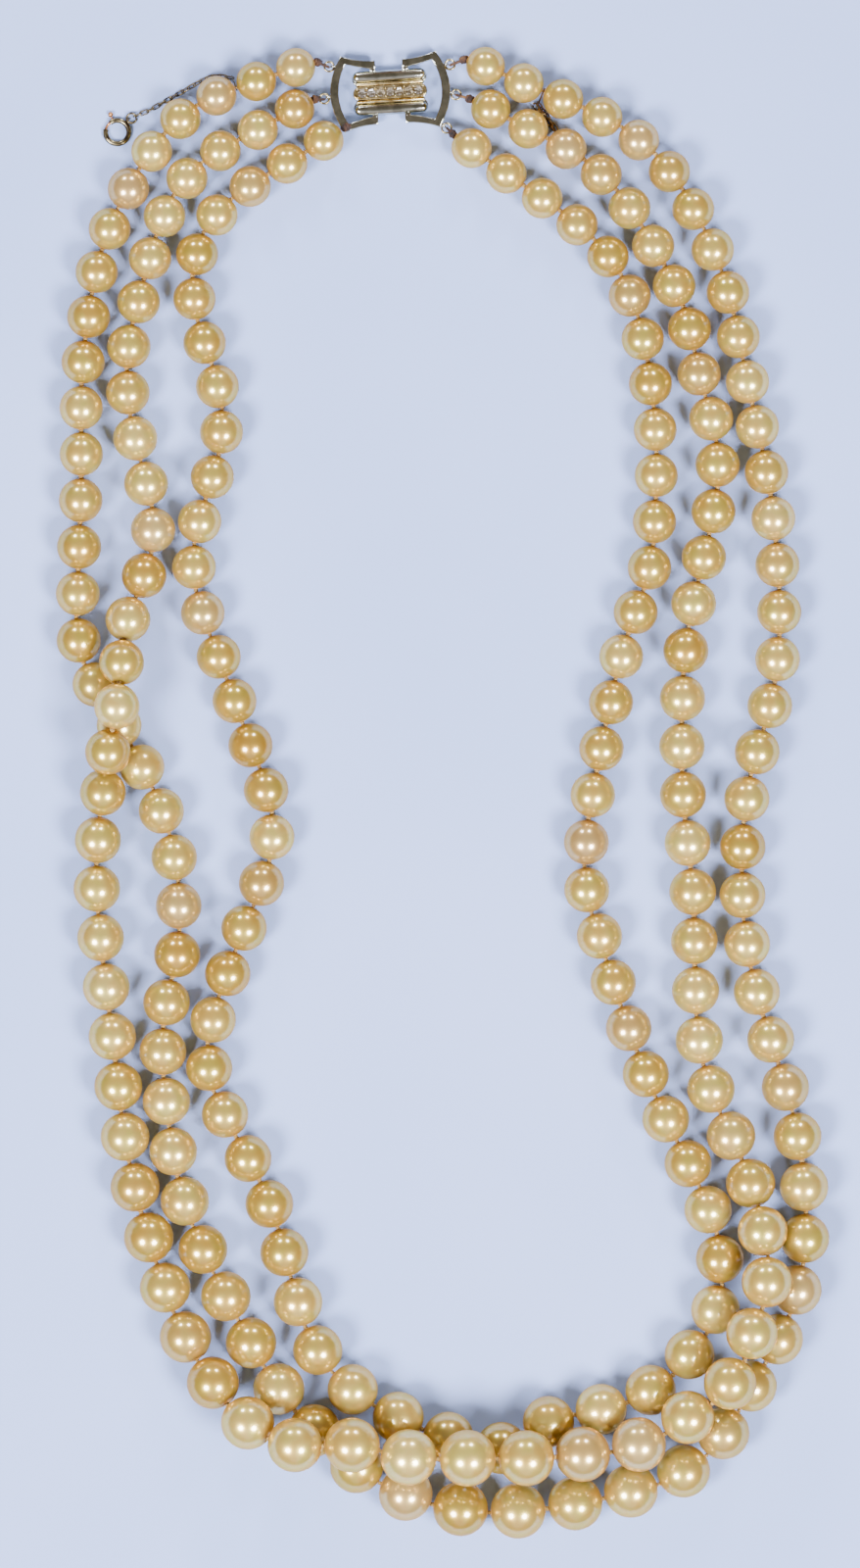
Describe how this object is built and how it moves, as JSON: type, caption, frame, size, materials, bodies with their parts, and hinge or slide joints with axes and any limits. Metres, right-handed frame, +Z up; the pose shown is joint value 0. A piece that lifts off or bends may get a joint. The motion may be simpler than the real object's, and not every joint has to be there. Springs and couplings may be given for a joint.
{
  "type": "pearl necklace",
  "caption": "Multi strand necklace of graduated round pearls on a stone-set box clasp with a safety chain, lying flat.",
  "frame": {"origin": "middle of the box round the whole necklace, on the surface it lies on", "axes": "+Z up off the surface, +Y from the largest pearls to the clasp, +X to the right in the picture"},
  "size_m": [0.1234, 0.2376, 0.0172],
  "materials": {
    "pearls_outer": "glossy nacre",
    "pearls_middle": "glossy nacre",
    "pearls_inner": "glossy nacre",
    "silk": "twisted silk",
    "white_gold": "polished",
    "diamond": "faceted",
    "jump_ring_gold": "polished",
    "chain_gold": "worn",
    "bolt_ring_gold": "worn",
    "thumb_piece_gold": "worn",
    "tarnished_gold": "tarnished"
  },
  "bodies": {
    "necklace": {"pearls_outer": "pearls_outer", "pearls_middle": "pearls_middle", "pearls_inner": "pearls_inner", "thread_outer": "silk", "thread_middle": "silk", "thread_inner": "silk", "clasp_box": "white_gold", "clasp_tongue": "white_gold", "diamond_1": "diamond", "diamond_2": "diamond", "diamond_3": "diamond", "diamond_4": "diamond", "diamond_5": "diamond", "diamond_6": "diamond", "diamond_7": "diamond", "jump_ring_left_upper": "jump_ring_gold", "jump_ring_left_middle": "jump_ring_gold", "jump_ring_right_upper": "jump_ring_gold", "jump_ring_right_middle": "jump_ring_gold", "jump_ring_right_lower": "jump_ring_gold", "safety_chain": "chain_gold", "bolt_ring": "bolt_ring_gold", "chain_end": "tarnished_gold"},
    "bolt": {"bolt": "thumb_piece_gold"}
  },
  "joints": [
    {"name": "bolt_slide", "type": "hinge", "parent": "necklace", "child": "bolt", "pos_m": [-0.05193, 0.10539, 0.00043], "axis": [0, 0, -1], "range_deg": [0, 40], "stiffness_Nm_per_rad": 0.000002}
  ]
}
